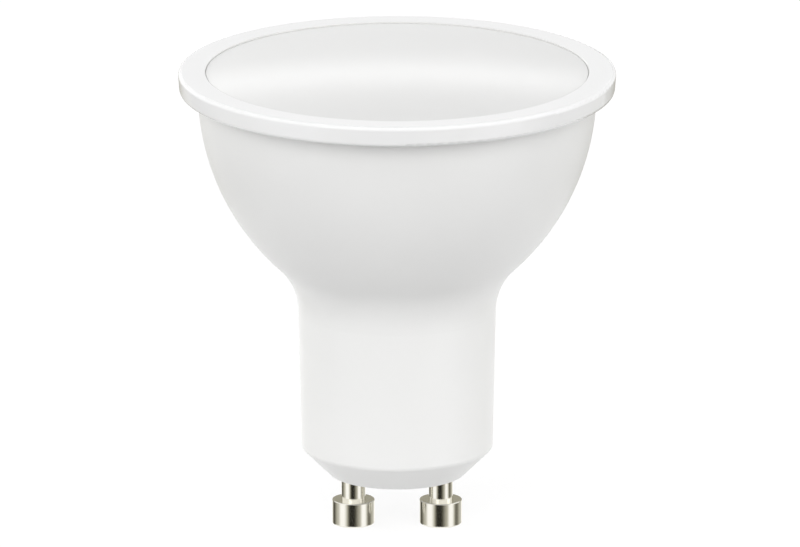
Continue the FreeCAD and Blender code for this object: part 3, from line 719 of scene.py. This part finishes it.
# A low grey card close behind the bulb, which only the upper faces of the pins' heads mirror.
lowCard = {"from": 128, "to": 232, "distance": 0.08, "low": 0.006, "high": 0.045, "columns": 25,
           "colour": "#FFFBE6", "grey": 0.36}


def cardGlow(tree, place):
    # the product over the cards of: grey within the core, 1 past the edge, smooth between
    parts = addNode(tree, "SeparateXYZ", {}, {"Vector": place}).outputs
    ahead = addNode(tree, "Math", {"operation": "MULTIPLY", 1: -1.0}, {0: parts["Y"]})
    azimuth = addNode(tree, "Math", {"operation": "ARCTAN2"}, {0: parts["X"], 1: ahead})
    glow = None
    for card in cards.values():
        middle, core, edge = (math.radians(card[key]) for key in ("middle", "core", "edge"))
        offset = addNode(tree, "Math", {"operation": "SUBTRACT", 1: middle}, {0: azimuth})
        away = addNode(tree, "Math", {"operation": "ABSOLUTE"}, {0: offset})
        soft = {"interpolation_type": "SMOOTHSTEP", 1: core, 2: edge, 3: card["grey"]}
        fade = addNode(tree, "MapRange", soft, {0: away})
        glow = addNode(tree, "Math", {"operation": "MULTIPLY"}, {0: glow, 1: fade}) if glow else fade
    return glow


def addCard(name, shape, material):
    # an upright strip round the axis, seen only in gloss: point = distance * (sin a, -cos a), low to high
    angle = np.radians(np.linspace(shape["from"], shape["to"], shape["columns"]))
    rim = np.stack([np.sin(angle), -np.cos(angle)], 1) * shape["distance"]
    low = np.column_stack([rim, np.full(len(rim), shape["low"])])
    high = np.column_stack([rim, np.full(len(rim), shape["high"])])
    step = np.arange(len(rim) - 1)
    faces = np.stack([step, step + 1, step + 1 + len(rim), step + len(rim)], 1)
    mesh = bpy.data.meshes.new(name)
    mesh.from_pydata(np.vstack([low, high]).tolist(), [], faces.tolist())
    mesh.materials.append(material)
    card = bpy.data.objects.new(name, mesh)
    bpy.context.scene.collection.objects.link(card)
    card.visible_camera = False
    card.visible_diffuse = False
    card.visible_shadow = False


def makeCards():
    # the band's strength is glow * white, and its colour runs from the tint, where dark, to white
    material, tree, place = newMaterial("cardBand")
    glow = cardGlow(tree, place)
    colour = addNode(tree, "Mix", {"data_type": "RGBA", 6: linear(band["tint"]), 7: white}, {0: glow})
    strength = addNode(tree, "Math", {"operation": "MULTIPLY", 1: band["white"]}, {0: glow})
    light = addNode(tree, "Emission", {}, {"Color": colour, "Strength": strength})
    addNode(tree, "OutputMaterial", {}, {"Surface": light})
    addCard("card_band", band, material)
    material, tree = newMaterial("lowCard")[:2]
    light = addNode(tree, "Emission", {"Color": linear(lowCard["colour"]), "Strength": lowCard["grey"]})
    addNode(tree, "OutputMaterial", {}, {"Surface": light})
    addCard("card_low", lowCard, material)


# The lens is long and kept under 1180 mm: past that, a camera framed this way from other angles stands
# further off than its far clip and sees nothing. Angles are in degrees, the lens and sensor in millimetres,
# lengths in metres.
view = {"azimuth": 0.0, "elevation": 15.45, "lens": 1000.0, "sensor": 36.0, "width": 91.42 * mm,
        "target": (0.33 * mm, 0.0, 29.66 * mm), "far": 20.0}


def makeCamera():
    # a long lens: distance = lens / sensor * the width of what the frame takes in at the bulb's axis
    data = bpy.data.cameras.new("camera")
    data.sensor_width = view["sensor"]
    data.lens = view["lens"]
    data.clip_end = view["far"]
    camera = bpy.data.objects.new("camera", data)
    distance = view["lens"] / view["sensor"] * view["width"]
    back = directionOf(view["azimuth"], view["elevation"])
    camera.location = Vector(view["target"]) + back * distance
    camera.rotation_euler = back.to_track_quat("Z", "Y").to_euler()
    bpy.context.scene.collection.objects.link(camera)
    bpy.context.scene.camera = camera


makeWorld()
makeFloor()
makeLamps()
makeCards()
makeCamera()
bpy.context.scene.view_settings.view_transform = "Standard"
print("stage: floor, lamps and camera")
